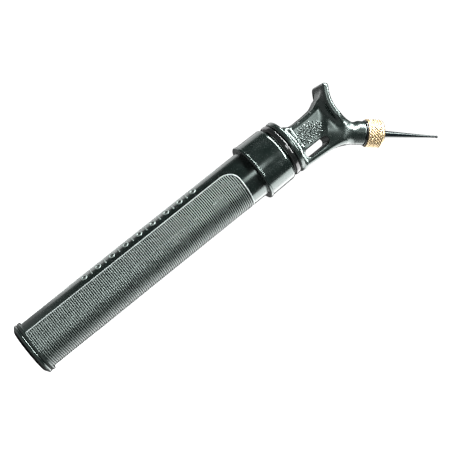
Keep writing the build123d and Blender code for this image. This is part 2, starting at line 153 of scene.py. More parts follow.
# ---- materials ------------------------------------------------------------------------------------
class Nodes:
    """Small helper round a material's node tree."""

    def __init__(self, name):
        self.material = bpy.data.materials.new(name)
        self.material.use_nodes = True
        self.tree = self.material.node_tree
        self.shader = self.tree.nodes["Principled BSDF"]
        self.coords = self.tree.nodes.new("ShaderNodeTexCoord").outputs["Object"]

    def add(self, kind, **settings):
        node = self.tree.nodes.new(kind)
        for key, value in settings.items():
            setattr(node, key, value)
        return node

    def link(self, out, into):
        self.tree.links.new(out, into)

    def noise(self, scale, detail=4.0, roughness=0.55, coords=None):
        node = self.add("ShaderNodeTexNoise")
        node.inputs["Scale"].default_value = scale
        node.inputs["Detail"].default_value = detail
        node.inputs["Roughness"].default_value = roughness
        self.link(coords or self.coords, node.inputs["Vector"])
        return node.outputs["Fac"]

    def ramp(self, value, stops):
        """A colour ramp; stops are (position, grey or rgb)."""
        node = self.add("ShaderNodeValToRGB")
        for i, (place, colour) in enumerate(stops):
            element = node.color_ramp.elements[i] if i < 2 else node.color_ramp.elements.new(place)
            element.position = place
            rgb = (colour,) * 3 if isinstance(colour, (int, float)) else colour
            element.color = (*rgb, 1)
        self.link(value, node.inputs["Fac"])
        return node.outputs["Color"]

    def mix(self, factor, a, b):
        node = self.add("ShaderNodeMix", data_type="RGBA")
        for socket, value in ((node.inputs["Factor"], factor), (node.inputs[6], a), (node.inputs[7], b)):
            if isinstance(value, bpy.types.NodeSocket):
                self.link(value, socket)
            else:
                socket.default_value = (*value, 1) if isinstance(value, tuple) else value
        return node.outputs[2]

    def maths(self, operation, a, b=None):
        node = self.add("ShaderNodeMath", operation=operation)
        for socket, value in zip(node.inputs, (a, b)):
            if isinstance(value, bpy.types.NodeSocket):
                self.link(value, socket)
            elif value is not None:
                socket.default_value = value
        return node.outputs[0]

    def bump(self, height, strength, distance_mm, normal=None):
        node = self.add("ShaderNodeBump")
        node.inputs["Strength"].default_value = strength
        node.inputs["Distance"].default_value = distance_mm * MM
        self.link(height, node.inputs["Height"])
        if normal is not None:
            self.link(normal, node.inputs["Normal"])
        return node.outputs["Normal"]

    def pointiness(self, stops):
        """A ramp over how convex the surface is: about 0.5 on flats, more on edges, less in hollows."""
        geometry = self.add("ShaderNodeNewGeometry")
        return self.ramp(geometry.outputs["Pointiness"], stops)


def moulded_plastic(name, colour, worn, rough=(0.2, 0.34), grain=0.03, speckle=0.5, gloss=0.5):
    """Moulded glossy plastic: faint mottling, orange-peel, fine dust specks and rubbed edges."""
    n = Nodes(name)
    mottle = n.noise(260.0, 5.0)
    specks = n.ramp(n.noise(2600.0, 2.0, 0.6), [(0.66, 0.0), (0.74, 1.0)])
    specks = n.maths("MULTIPLY", specks, speckle)
    base = n.mix(mottle, tuple(c * 0.6 for c in colour), tuple(c * 1.4 for c in colour))
    base = n.mix(specks, base, worn)
    edge = n.pointiness([(0.53, 0.0), (0.62, 1.0)])
    rub = n.maths("MULTIPLY", edge, n.ramp(n.noise(420.0), [(0.42, 0.0), (0.62, 0.55)]))
    base = n.mix(rub, base, worn)
    n.link(base, n.shader.inputs["Base Color"])
    smear = n.noise(90.0, 6.0, 0.7)
    n.link(n.ramp(smear, [(0.3, rough[0]), (0.72, rough[1])]), n.shader.inputs["Roughness"])
    peel = n.bump(n.noise(900.0, 3.0), 0.35, grain)
    n.link(n.bump(n.noise(3800.0, 2.0), 0.25, grain * 0.25, peel), n.shader.inputs["Normal"])
    n.shader.inputs["IOR"].default_value = 1.6
    n.shader.inputs["Specular IOR Level"].default_value = gloss
    n.shader.inputs["Specular Tint"].default_value = (0.84, 1.0, 0.95, 1)
    return n.material


def soft_rubber(name, colour, rough):
    """Rubber with a slight bloom and a fine grain."""
    n = Nodes(name)
    bloom = n.ramp(n.noise(340.0, 5.0), [(0.35, 0.0), (0.75, 0.35)])
    n.link(n.mix(bloom, colour, tuple(c * 2.6 + 0.002 for c in colour)), n.shader.inputs["Base Color"])
    n.link(n.ramp(n.noise(200.0), [(0.3, rough[0]), (0.7, rough[1])]), n.shader.inputs["Roughness"])
    n.link(n.bump(n.noise(2400.0, 3.0), 0.3, 0.012), n.shader.inputs["Normal"])
    return n.material


def metal(name, colour, tarnish, rough=(0.18, 0.34), brushed=(1.0, 1.0, 0.04), hollow_shade=0.0):
    """Bare metal: tool marks, uneven polish, a little tarnish and, with hollow_shade, painted shade that darkens
    the hollows.
    """
    n = Nodes(name)
    mapping = n.add("ShaderNodeMapping")
    mapping.inputs["Scale"].default_value = brushed
    n.link(n.coords, mapping.inputs["Vector"])
    marks = n.noise(2600.0, 3.0, 0.6, mapping.outputs["Vector"])
    stain = n.ramp(n.noise(320.0, 6.0, 0.65), [(0.45, 0.0), (0.8, 0.6)])
    face = n.mix(stain, colour, tarnish)
    if hollow_shade:
        # painted shade: the hollows turn near black, by pointiness
        face = n.mix(n.pointiness([(0.43, hollow_shade), (0.5, 0.0)]), face, tuple(c * 0.08 for c in colour))
    n.link(face, n.shader.inputs["Base Color"])
    n.link(n.ramp(marks, [(0.3, rough[0]), (0.7, rough[1])]), n.shader.inputs["Roughness"])
    n.link(n.bump(marks, 0.2, 0.02), n.shader.inputs["Normal"])
    n.shader.inputs["Metallic"].default_value = 1.0
    return n.material


def plain_plastic(name, colour):
    """Natural engineering plastic of the inner parts: milky, with machining lines."""
    n = Nodes(name)
    mapping = n.add("ShaderNodeMapping")
    mapping.inputs["Scale"].default_value = (0.1, 0.1, 1.0)
    n.link(n.coords, mapping.inputs["Vector"])
    lines = n.noise(3000.0, 2.0, 0.5, mapping.outputs["Vector"])
    n.link(n.mix(n.noise(200.0), colour, tuple(c * 0.88 for c in colour)), n.shader.inputs["Base Color"])
    n.link(n.ramp(lines, [(0.3, 0.35), (0.7, 0.5)]), n.shader.inputs["Roughness"])
    n.link(n.bump(lines, 0.25, 0.03), n.shader.inputs["Normal"])
    n.shader.inputs["Subsurface Weight"].default_value = 0.05
    return n.material


BLACK = (0.0014, 0.0029, 0.0025)
HEAD_BLACK = (0.0017, 0.0035, 0.0030)
WORN = (0.22, 0.25, 0.24)
grip_look = moulded_plastic("grip_plastic", BLACK, WORN, rough=(0.16, 0.24), grain=0.0, speckle=0.3)
# lighter grey for the ribs' crests and the marks: a painted highlight
crest_highlight_look = moulded_plastic(
    "grip_plastic_crest_highlight", (0.04, 0.048, 0.045), (0.12, 0.14, 0.13),
    rough=(0.4, 0.5), grain=0.0, speckle=0.4, gloss=1.0)
groove_look = moulded_plastic(
    "grip_plastic_groove", BLACK, WORN, rough=(0.22, 0.32), grain=0.0, speckle=0.2, gloss=0.22)
# light grey of the panel beads: a painted highlight along the raised line
bead_highlight_look = moulded_plastic(
    "grip_plastic_bead_highlight", (0.2, 0.225, 0.22), (0.5, 0.53, 0.52),
    rough=(0.16, 0.26), grain=0.0, speckle=0.6)
cap_look = moulded_plastic("cap_plastic", BLACK, WORN, rough=(0.1, 0.2))
collar_look = moulded_plastic("collar_plastic", BLACK, WORN, rough=(0.14, 0.24), grain=0.012, speckle=0.3)
head_look = moulded_plastic("head_plastic", HEAD_BLACK, WORN, rough=(0.2, 0.3), grain=0.008, speckle=0.4)
cylinder_look = moulded_plastic(
    "cylinder_plastic", (0.006, 0.007, 0.0075), WORN, rough=(0.16, 0.24), speckle=0.1)
needle_look = moulded_plastic(
    "needle_plastic", (0.002, 0.003, 0.004), WORN, rough=(0.08, 0.14), speckle=0.1, gloss=0.12)
ring_look = soft_rubber("black_rubber", (0.002, 0.0025, 0.0025), (0.12, 0.22))
seal_look = soft_rubber("seal_rubber", (0.018, 0.015, 0.014), (0.34, 0.5))
# the nut's knurl gets painted shade in its hollows
brass_look = metal(
    "brass", (0.50, 0.39, 0.235), (0.4, 0.28, 0.16), rough=(0.34, 0.46), brushed=(1.0, 1.0, 1.0), hollow_shade=1.0)
seat_brass_look = metal("seat_brass", (0.85, 0.63, 0.34), (0.6, 0.4, 0.2))
steel_look = metal("steel", (0.66, 0.67, 0.68), (0.45, 0.43, 0.4), brushed=(1.0, 1.0, 0.2))
rod_look = metal("rod_steel", (0.74, 0.75, 0.76), (0.55, 0.53, 0.5), brushed=(1.0, 1.0, 0.02))
spring_look = metal("spring_steel", (0.6, 0.61, 0.62), (0.4, 0.39, 0.37))
guide_look = plain_plastic("guide_plastic", (0.78, 0.77, 0.73))
piston_look = plain_plastic("piston_plastic", (0.66, 0.62, 0.54))

# every material slot of the CAD model
LOOKS = {
    "grip_plastic": grip_look, "cap_plastic": cap_look, "collar_plastic": collar_look,
    "head_plastic": head_look, "cylinder_plastic": cylinder_look, "needle_plastic": needle_look,
    "black_rubber": ring_look, "seal_rubber": seal_look, "brass": brass_look, "seat_brass": seat_brass_look,
    "steel": steel_look, "rod_steel": rod_look, "spring_steel": spring_look, "guide_plastic": guide_look,
    "piston_plastic": piston_look,
}
for part in frame["record"]["subparts"]:
    cad = frame["nodes"][part["node"]]
    cad.data.materials.clear()
    cad.data.materials.append(LOOKS[part["material_slot"]])


# ---- grip sleeve ----------------------------------------------------------------------------------
RIB_PITCH = 1.33
RIB_DEPTH = 0.5
PANEL_HALF = math.radians(68.0)
PANEL_TOP = 161.5
PANEL_CORNER = 9.0
GRIP_TURN = math.radians(-65.0)  # direction of the near panel's middle
RIB_SHARPNESS = 2.1              # 2 would be a parabola
PARTING_HEIGHT = 0.07
PARTING_WIDTH = 0.2


def from_panel_middle(angle):
    """Distance round the sleeve from the middle of the nearer ribbed panel."""
    return np.abs((angle - GRIP_TURN + math.pi / 2) % math.pi - math.pi / 2) * BARREL_R


def panel_distance(angle, z):
    """Distance inside (negative) or outside the nearer ribbed panel on the rolled-out sleeve."""
    half, low = PANEL_HALF * BARREL_R, RIB_FOOT - 12.0
    qx = from_panel_middle(angle) - (half - PANEL_CORNER)
    qz = np.abs(z - (PANEL_TOP + low) / 2) - ((PANEL_TOP - low) / 2 - PANEL_CORNER)
    outside = np.hypot(np.maximum(qx, 0), np.maximum(qz, 0))
    return outside + np.minimum(np.maximum(qx, qz), 0) - PANEL_CORNER


def sleeve_surface(angle, z):
    """Outer radius of the sleeve between its foot ring and the collar: rounded ribs inside the panels."""
    into = panel_distance(angle, z)
    off_crest = np.abs((z - RIB_FOOT) / RIB_PITCH % 1.0 - 0.5) * 2
    ribs = -RIB_DEPTH * off_crest**RIB_SHARPNESS * smoothstep(-0.45, -0.8, into)
    middle_of_strip = (math.pi / 2) * BARREL_R - from_panel_middle(angle)
    parting = PARTING_HEIGHT * np.exp(-((middle_of_strip / PARTING_WIDTH) ** 2))
    return BARREL_R + ribs + parting * smoothstep(0.2, 0.8, into)


def sleeve_columns():
    """Directions of the sleeve's mesh columns, close together at the panels' edges."""
    half = PANEL_HALF * BARREL_R
    edge = [half + d for d in (-2.0, -1.4, -1.05, -0.85, -0.65, -0.45, -0.25, 0.3, 1.0)]
    strip = math.pi / 2 * BARREL_R
    quarter = list(np.linspace(0, half - 2.6, 38)) + edge + list(np.linspace(half + 1.8, strip - 0.6, 6))
    quarter += [strip - 0.35, strip - 0.18]
    whole = []
    for side in (0, math.pi):
        whole += [side - a / BARREL_R for a in reversed(quarter[1:])] + [side + a / BARREL_R for a in quarter]
        whole += [side + math.pi / 2]
    return np.sort((np.array(whole) + GRIP_TURN) % TAU)


def make_sleeve():
    """The grip sleeve: foot ring, ribbed barrel, threaded end under the collar, and bore."""
    per_rib = 8
    ribbed = np.arange(RIB_FOOT, PANEL_TOP + 0.5, RIB_PITCH / per_rib)
    z = np.concatenate([ribbed, np.linspace(PANEL_TOP + 1.0, COLLAR_FOOT + 1.0, 12)])
    angle = sleeve_columns()
    columns = len(angle)
    radius = sleeve_surface(*np.meshgrid(angle, z))
    ring_root = BARREL_R + 0.3
    foot = soften([
        (SLEEVE_BORE_R + 0.1, SLEEVE_RING_FOOT, 0), (FLANGE_R, SLEEVE_RING_FOOT), (FLANGE_R, RIB_FOOT),
        (ring_root, RIB_FOOT, 0)], 1.05)
    foot = [(r, h) for r, h in foot if h < RIB_FOOT - 1e-6 or r > ring_root + 0.01]
    head = [
        (SLEEVE_THREAD_R, COLLAR_FOOT + 1.6), (SLEEVE_THREAD_R, SLEEVE_TOP), (SLEEVE_BORE_R, SLEEVE_TOP),
        (SLEEVE_BORE_R, SLEEVE_RING_FOOT)]
    rings = [np.full(columns, r) for r, _ in foot] + list(radius) + [np.full(columns, r) for r, _ in head]
    heights = [h for _, h in foot] + list(z) + [h for _, h in head]
    verts = np.concatenate([
        np.stack([r * np.cos(angle), r * np.sin(angle), np.full(columns, h)], 1)
        for r, h in zip(rings, heights)])
    sleeve = make_object("grip_sleeve_skin", verts, tube_faces(len(heights), columns), "handle", grip_look)
    paint_crest_highlights(sleeve, angle, ribbed, per_rib, len(foot) * columns)
    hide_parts("grip_sleeve")


def paint_crest_highlights(sleeve, angle, ribbed, per_rib, first_face):
    """Give the ribs' crests a lighter colour as a painted highlight, and the faces between them the groove look.
    """
    sleeve.data.materials.append(crest_highlight_look)
    sleeve.data.materials.append(groove_look)
    middle_z = (ribbed + RIB_PITCH / per_rib / 2)[:, None]
    beside_crest = 2.2 / per_rib     # reaches the two strips of faces that meet at a crest
    on_crest = np.abs((middle_z - RIB_FOOT) / RIB_PITCH % 1.0 - 0.5) * 2 < beside_crest
    inside = panel_distance(angle[None, :], middle_z) < -0.6
    for i, k in np.argwhere(inside):
        sleeve.data.polygons[first_face + i * len(angle) + k].material_index = 1 if on_crest[i, 0] else 2


def panel_edge():
    """Points (distance round the sleeve, height) up one side of a panel, over its top and down again."""
    half = PANEL_HALF * BARREL_R
    centre, corner_z = half - PANEL_CORNER, PANEL_TOP - PANEL_CORNER
    straight = np.arange(RIB_FOOT + 0.1, corner_z, RIB_PITCH / 6)

    def corner(x, start, end):
        turn = np.linspace(start, end, 60)
        return [(x + PANEL_CORNER * math.cos(t), corner_z + PANEL_CORNER * math.sin(t)) for t in turn]

    path = [(-half, z) for z in straight]
    path += corner(-centre, math.pi, math.pi / 2)
    path += [(x, PANEL_TOP) for x in np.linspace(1 - centre, centre - 1, 24)]
    path += corner(centre, math.pi / 2, 0)
    path += [(half, z) for z in reversed(straight)]
    return np.array(path)


# (distance off the bead's middle, share of its height), or a depth in mm below the barrel's surface
BEAD_SECTION = [
    (-0.38, -0.3), (-0.36, 0.0), (-0.26, 0.62), (-0.1, 1.0),
    (0.1, 1.0), (0.26, 0.62), (0.36, 0.0), (0.38, -0.3)]
BEAD_HEIGHT = 0.15
KNOB_HEIGHT = 0.09


def make_panel_beads():
    """The thin raised line moulded round each ribbed panel, with a small knob at each rib's end."""
    path = panel_edge()
    along = np.gradient(path, axis=0)
    along /= np.linalg.norm(along, axis=1, keepdims=True)
    side_step = np.stack([-along[:, 1], along[:, 0]], 1)
    n = len(BEAD_SECTION)
    verts, faces = [], []
    for middle in (GRIP_TURN, GRIP_TURN + math.pi):
        base = len(verts)
        for (arc, z), (arc_step, z_step) in zip(path, side_step):
            height = BEAD_HEIGHT + KNOB_HEIGHT * math.cos(TAU * ((z - RIB_FOOT) / RIB_PITCH - 0.5))
            for off, rise in BEAD_SECTION:
                a = middle + (arc + arc_step * off) / BARREL_R
                r = BARREL_R + (rise * height if rise > 0 else rise)
                verts.append((r * math.cos(a), r * math.sin(a), z + z_step * off))
        for i in range(len(path) - 1):
            for k in range(n):
                m = (k + 1) % n
                low, high = base + i * n, base + (i + 1) * n
                faces.append((low + k, low + m, high + m, high + k))
        faces.append(tuple(base + k for k in reversed(range(n))))
        faces.append(tuple(base + (len(path) - 1) * n + k for k in range(n)))
    # the beads' light grey is a painted highlight
    beads = make_object("panel_beads", verts, faces, "handle", bead_highlight_look)


make_sleeve()
make_panel_beads()


# ---- head: one moulding, shaped as a distance field and meshed --------------------------------------
HEAD_FOOT = RING_TOP + 0.05
HEAD_FLANGE_TOP = HEAD_FOOT + 3.85
BOSS_R = 12.6                    # round foot of the body, narrowing upward
BOSS_TAPER = 3.4
BODY_HALF = 7.7                  # half thickness between the two flat faces
BODY_ROUND = 3.2
SADDLE = (0.5, 264.1)            # X and Z of the palm rest's axis
SADDLE_R = 25.6
PLATE = 4.2                      # thickness of the palm rest
PLATE_HALF = 12.5                # half width of its arm side
PLATE_NARROWS = 5.4              # narrower by this much at the neck
PLATE_CORNER = 2.6
ARM_END = math.radians(-38.2)
NECK_END = math.radians(36.0)
SLOT_X = 12.0
SLOT_Z = (205.6, 223.6)
SLOT_HALF = 2.7
NECK_R = 7.75
# the body's side view in X and Z; its top lies inside the palm rest
BODY_OUTLINE = [
    (-12.4, 200.0), (-10.4, 204.2), (-8.5, 208.4), (-8.0, 214.0), (-8.1, 221.0), (-8.6, 227.5),
    (-10.6, 232.5), (-10.0, 236.5), (0.0, 236.8), (12.0, 239.0), (20.6, 232.0), (20.2, 229.0),
    (19.2, 218.0), (18.3, 206.0), (17.9, 200.0),
]
GRAIN_AREA = (9.5, 6.3)          # half sizes of the oval of grains, up and across
GRAIN_CENTRE = (1.7, 215.6)


def smooth_union(a, b, k):
    """Join two distances with a fillet of about k."""
    h = np.clip(0.5 + 0.5 * (b - a) / k, 0, 1)
    return b * (1 - h) + a * h - k * h * (1 - h)


def smooth_cut(a, b, k):
    return -smooth_union(-a, b, k)


def outline_distance(x, z, outline):
    """Signed distance to a closed polygon in the XZ plane."""
    best = None
    inside = np.ones(np.broadcast(x, z).shape)
    count = len(outline)
    for i in range(count):
        ax, az = outline[i]
        bx, bz = outline[i - 1]
        ex, ez = bx - ax, bz - az
        wx, wz = x - ax, z - az
        t = np.clip((wx * ex + wz * ez) / (ex * ex + ez * ez), 0, 1)
        d = (wx - ex * t) ** 2 + (wz - ez * t) ** 2
        best = d if best is None else np.minimum(best, d)
        c1, c2, c3 = z >= az, z < bz, ex * wz > ez * wx
        flip = (c1 & c2 & c3) | (~c1 & ~c2 & ~c3)
        inside = np.where(flip, -inside, inside)
    return inside * np.sqrt(best)


def rounded_slab(flat, across, radius):
    """Join an outline's distance and a thickness distance with a rounded edge."""
    a, b = flat + radius, across + radius
    return np.hypot(np.maximum(a, 0), np.maximum(b, 0)) + np.minimum(np.maximum(a, b), 0) - radius


def make_pips():
    """Ends, radii and heights of the small raised grains on the head's flat faces."""
    rng = random.Random(7)
    middle_x, middle_z = GRAIN_CENTRE
    grains = []
    for row in range(-3, 4):
        for column in range(-6, 7):
            u = column * 1.62 + (0.81 if row % 2 else 0.0) + rng.uniform(-0.35, 0.35)
            v = row * 1.75 + rng.uniform(-0.35, 0.35)
            if (u / GRAIN_AREA[0]) ** 2 + (v / GRAIN_AREA[1]) ** 2 < 1:
                lean, half = rng.uniform(0, math.pi), rng.uniform(0.1, 0.75)
                dx, dz = half * math.cos(lean), half * math.sin(lean)
                ends = (middle_x + v - dx, middle_z + u - dz, middle_x + v + dx, middle_z + u + dz)
                grains.append((*ends, rng.uniform(0.42, 0.62), rng.uniform(0.4, 0.7)))
    return grains


PIPS = make_pips()


def pip_height(x, z):
    """Relief on the flat faces: short rounded grains lying every way."""
    relief = np.zeros(np.broadcast(x, z).shape)
    for ax, az, bx, bz, radius, height in PIPS:
        ex, ez = bx - ax, bz - az
        t = np.clip(((x - ax) * ex + (z - az) * ez) / (ex**2 + ez**2), 0, 1)
        d2 = ((x - ax - t * ex) ** 2 + (z - az - t * ez) ** 2) / radius**2
        relief = np.maximum(relief, height * np.clip(1 - d2, 0, 1) ** 0.6)
    return relief


def foot_distance(x, y, z):
    """The flange with the round boss over it."""
    flange_middle = (HEAD_FOOT + HEAD_FLANGE_TOP) / 2
    flange = rounded_slab(np.hypot(x, y) - RING_R, np.abs(z - flange_middle) - 1.925, 1.35)
    boss_r = BOSS_R - BOSS_TAPER * smoothstep(HEAD_FLANGE_TOP - 1, HEAD_FLANGE_TOP + 4.0, z)
    boss = np.maximum(np.hypot(x * 0.92, y * 1.12) - boss_r, np.abs(z - 202.5) - 3.5)
    return smooth_union(flange, boss, 1.6)


def body_distance(x, y, z):
    """The flat-faced body, with its grains."""
    flat = outline_distance(x, z, BODY_OUTLINE)
    return rounded_slab(flat, np.abs(y) - BODY_HALF - pip_height(x, z), BODY_ROUND)


def rest_distance(x, y, z, rho):
    """The curved plate of the palm rest; rho is the distance from the saddle's axis."""
    phi = np.arctan2(x - SADDLE[0], SADDLE[1] - z)
    half = PLATE_HALF - PLATE_NARROWS * smoothstep(math.radians(4), math.radians(33), phi)
    middle = (ARM_END + NECK_END) / 2
    along = (SADDLE_R + PLATE / 2) * (np.abs(phi - middle) - (NECK_END - ARM_END) / 2)
    plan = rounded_slab(along, np.abs(y) - half, PLATE_CORNER)
    return rounded_slab(plan, np.abs(rho - SADDLE_R - PLATE / 2) - PLATE / 2, 1.5)


def head_distance(x, y, z):
    """Signed distance to the whole head; w is the height along the nozzle, 0 at the neck's end."""
    rho = np.hypot(x - SADDLE[0], SADDLE[1] - z)
    px, pz = x - SEAT.x, z - SEAT.z
    w = px * NOZZLE.x + pz * NOZZLE.z
    neck_off = np.hypot(px * NOZZLE.z - pz * NOZZLE.x, y)
    neck = rounded_slab(neck_off - NECK_R, np.abs(w + 14.0) - 13.0, 0.6)
    upper = smooth_union(rest_distance(x, y, z, rho), neck, 4.5)
    shape = smooth_union(foot_distance(x, y, z), body_distance(x, y, z), 3.0)
    shape = smooth_union(shape, upper, 6.5 - 5.3 * smoothstep(-8.0, -2.5, w))
    palm = np.minimum(SADDLE_R - rho, 30.0) - 3.0 * smoothstep(-12.0, -5.0, w)
    shape = np.maximum(shape, palm)
    slot_z = np.clip(z, SLOT_Z[0] + SLOT_HALF, SLOT_Z[1] - SLOT_HALF)
    slot = np.hypot(x - SLOT_X, z - slot_z) - SLOT_HALF
    shape = smooth_cut(shape, slot, 0.9)
    socket = np.maximum(np.hypot(x, y) - CYL_R, np.abs(z - HEAD_FOOT) - 2.0)
    return np.maximum(shape, -socket)


def head_slope(x, y, z, tiny=0.04):
    """Gradient of the head's distance, one row to a point."""
    return np.stack([
        head_distance(x + tiny, y, z) - head_distance(x - tiny, y, z),
        head_distance(x, y + tiny, z) - head_distance(x, y - tiny, z),
        head_distance(x, y, z + tiny) - head_distance(x, y, z - tiny),
    ], 1) / (2 * tiny)


def net_points(values, where):
    """One point in each grid cell that the surface crosses: the mean of its edge crossings."""
    total, hits = np.zeros((len(where), 3)), np.zeros(len(where))
    for axis in range(3):
        for off in np.ndindex(2, 2):
            start = list(off)
            start.insert(axis, 0)
            end = list(start)
            end[axis] = 1
            a = values[tuple((where + start).T)]
            b = values[tuple((where + end).T)]
            cross = (a < 0) != (b < 0)
            t = np.where(cross, a / np.where(cross, a - b, 1), 0)
            point = np.array(start, float) + np.eye(3)[axis] * t[:, None]
            total += point * cross[:, None]
            hits += cross
    return where + total / hits[:, None]


def net_quads(inside, index):
    """A quad across each grid edge that the surface crosses, facing outward."""
    quads = []
    for axis in range(3):
        u, v = [a for a in range(3) if a != axis]
        low = [slice(None)] * 3
        low[axis] = slice(0, -1)
        high = [slice(None)] * 3
        high[axis] = slice(1, None)
        cells = np.argwhere(inside[tuple(low)] != inside[tuple(high)])
        cells = cells[(cells[:, [u, v]] > 0).all(1)]
        cells = cells[(cells[:, u] < index.shape[u]) & (cells[:, v] < index.shape[v])]
        rising = inside[tuple(cells.T)]
        four = []
        for du, dv in ((-1, -1), (0, -1), (0, 0), (-1, 0)):
            c = cells.copy()
            c[:, u] += du
            c[:, v] += dv
            four.append(index[tuple(c.T)])
        four = np.stack(four, 1)
        flip = rising if axis != 1 else ~rising
        four[~flip] = four[~flip][:, ::-1]
        quads.append(four)
    return np.concatenate(quads)


def surface_nets(values, origin, step):
    """Points and quads on the zero level of a grid of distances."""
    inside = values < 0
    shape = np.array(values.shape) - 1
    corners = [tuple(slice(o, o + s) for o, s in zip(off, shape)) for off in np.ndindex(2, 2, 2)]
    total = sum(inside[c].astype(np.int8) for c in corners)
    mixed = (total > 0) & (total < 8)
    index = np.full(shape, -1)
    index[mixed] = np.arange(mixed.sum())
    verts = origin + step * net_points(values, np.argwhere(mixed))
    return verts, net_quads(inside, index)


def make_head():
    """Mesh the head on a grid, then move its points onto the surface and take the normals from it."""
    step = 0.36
    low = np.array([-22.0, -19.0, HEAD_FOOT - 1.5])
    high = np.array([32.0, 19.0, 256.0])
    count = np.ceil((high - low) / step).astype(int) + 1
    axes = [low[i] + step * np.arange(count[i]) for i in range(3)]
    field = head_distance(axes[0][:, None, None], axes[1][None, :, None], axes[2][None, None, :])
    verts, quads = surface_nets(field, low, step)
    for _ in range(4):
        slope = head_slope(*verts.T)
        size = np.maximum((slope**2).sum(1), 0.25)
        move = -(head_distance(*verts.T) / size)[:, None] * slope
        length = np.linalg.norm(move, axis=1, keepdims=True)
        verts = verts + move * np.minimum(1, 0.4 * step / np.maximum(length, 1e-9))
    head = make_object("head_moulding", verts, quads, "barrel", head_look)
    normals = slope / np.linalg.norm(slope, axis=1, keepdims=True)
    head.data.normals_split_custom_set_from_vertices(normals)
    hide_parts("head_body")


make_head()


# ---- other round pieces ---------------------------------------------------------------------------
def replace_turned(name, node, slot, outline, body, material, **lathe_options):
    """A round piece from a (radius, height[, corner radius]) outline, in place of a CAD node."""
    verts, faces = lathe(soften(outline, 0.3), **lathe_options)
    piece = make_object(name, verts, faces, body, material)
    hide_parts(node)


replace_turned("end_cap_skin", "end_cap", "cap_plastic", [
    (5.2, 0.0, 0.4), (14.4, 0.0, 1.2), (16.8, 1.5, 0.4), (CAP_R, 1.9, 0.3), (CAP_R, CAP_RING_TOP, 0.95),
    (13.5, CAP_RING_TOP, 0), (13.5, 12.0), (10.5, 12.0), (10.5, 7.5, 0),
    (2.3, 7.5, 0), (2.3, 4.6, 0), (5.2, 4.6, 0),
], "handle", cap_look, segments=200)

replace_turned("collar_skin", "collar", "collar_plastic", [
    (15.5, COLLAR_FOOT, 0.2), (COLLAR_BEAD_R, COLLAR_FOOT, 0.6), (COLLAR_BEAD_R, COLLAR_FOOT + 1.5, 0.6),
    (COLLAR_BEAD_R - 0.42, COLLAR_FOOT + 1.8, 0.4), (COLLAR_BEAD_R - 0.72, COLLAR_TOP - 0.2, 2.3),
    (CYL_R + 1.6, COLLAR_TOP, 0.8), (CYL_R + 0.4, COLLAR_TOP - 0.8, 0.3), (CYL_R + 0.4, 191.8, 0),
    (15.5, 191.8, 0),
], "handle", collar_look, segments=220)

replace_turned("bumper_ring_skin", "bumper_ring", "black_rubber", [
    (CYL_R + 0.05, RING_FOOT, 0.2), (RING_R - 1.5, RING_FOOT, 0.9), (RING_R, RING_FOOT + 1.3, 1.3),
    (RING_R, RING_TOP - 0.9, 1.1), (RING_R - 1.3, RING_TOP, 0.5), (CYL_R + 0.05, RING_TOP, 0.2),
], "barrel", ring_look, segments=200)

replace_turned("neck_ring_skin", "neck_ring", "black_rubber", [
    (6.25, -0.95, 0.2), (8.2, -0.95, 0.4), (8.2, 0.0, 0.4), (6.25, 0.0, 0.2),
], "barrel", ring_look, segments=120, origin=SEAT, axis=NOZZLE)

replace_turned("needle", "needle_adaptor", "needle_plastic", [
    (0.45, 1.1, 0), (3.45, 1.1, 0.3), (3.85, 1.6, 0.3), (3.85, 9.7, 0.3), (3.5, 10.0, 0.2),
    (2.55, 10.05, 0.2), (2.25, 10.8, 0.4), (0.75, 43.9, 2.0), (0.75, 47.2, 0.15),
    (0.55, 47.45, 0.1), (0.55, 47.95, 0.1),
    (0.8, 48.35, 0.3), (0.8, 49.1, 0.4), (0.45, 49.6, 0.1),
], "needle", needle_look, segments=64, origin=SEAT, axis=NOZZLE)


def neck_thread():
    """Threaded end of the neck, seen when the nut is unscrewed."""
    bore, crest, root, pitch, turns = 4.0, 6.2, 5.75, 1.0, 6
    outline = [(bore, -1.1)]
    for i in range(turns):
        start = pitch * i
        outline += [(crest, start - 0.9), (crest, start - 0.65), (root, start - 0.4), (root, start - 0.2)]
    outline += [(crest - 0.4, 5.6), (crest - 0.7, 6.0), (bore, 6.0)]
    verts, faces = lathe(outline, 120, SEAT, NOZZLE)
    thread = make_object("neck_thread", verts, faces, "barrel", head_look)


neck_thread()

KNURL_TEETH = 28
KNURL_DEPTH = 0.5
KNURL_SPAN = (0.75, 9.3)
KNURL_GROOVE = 0.27              # half width of a groove, as a share of a tooth
NUT_SKIN_R = NUT_R - 0.02
# outlines of the nut's ends, from the bore outward and back
NUT_FOOT = [
    (6.3, 0.1), (7.6, 0.1), (NUT_R - 0.45, 0.13), (NUT_R - 0.2, 0.22), (NUT_R - 0.05, 0.42),
    (NUT_SKIN_R, 0.6)]
NUT_DOME = [
    (NUT_SKIN_R, 9.4), (NUT_R - 0.1, 9.75), (NUT_R - 0.38, 10.25), (NUT_R - 0.85, 10.75),
    (NUT_R - 1.5, 11.15), (NUT_R - 2.2, 11.42), (NUT_R - 2.8, 11.55), (6.0, 11.6), (4.9, 11.58),
    (4.55, 11.45), (4.35, 11.2), (4.3, 10.9), (4.3, 10.3), (6.3, 10.3)]


def knurl_radius(angle, w):
    """Radius of the nut's side: two sets of crossing grooves that fade out at both ends."""
    around = angle * KNURL_TEETH / TAU
    rise = w * KNURL_TEETH / (TAU * NUT_R)

    def groove(phase):
        return np.clip(1 - np.abs(phase % 1.0 - 0.5) / KNURL_GROOVE, 0, 1)

    cut = np.maximum(groove(around + rise), groove(around - rise))
    low, high = KNURL_SPAN
    fade = smoothstep(low, low + 0.35, w) * smoothstep(high, high - 0.35, w)
    return NUT_SKIN_R - KNURL_DEPTH * cut * fade


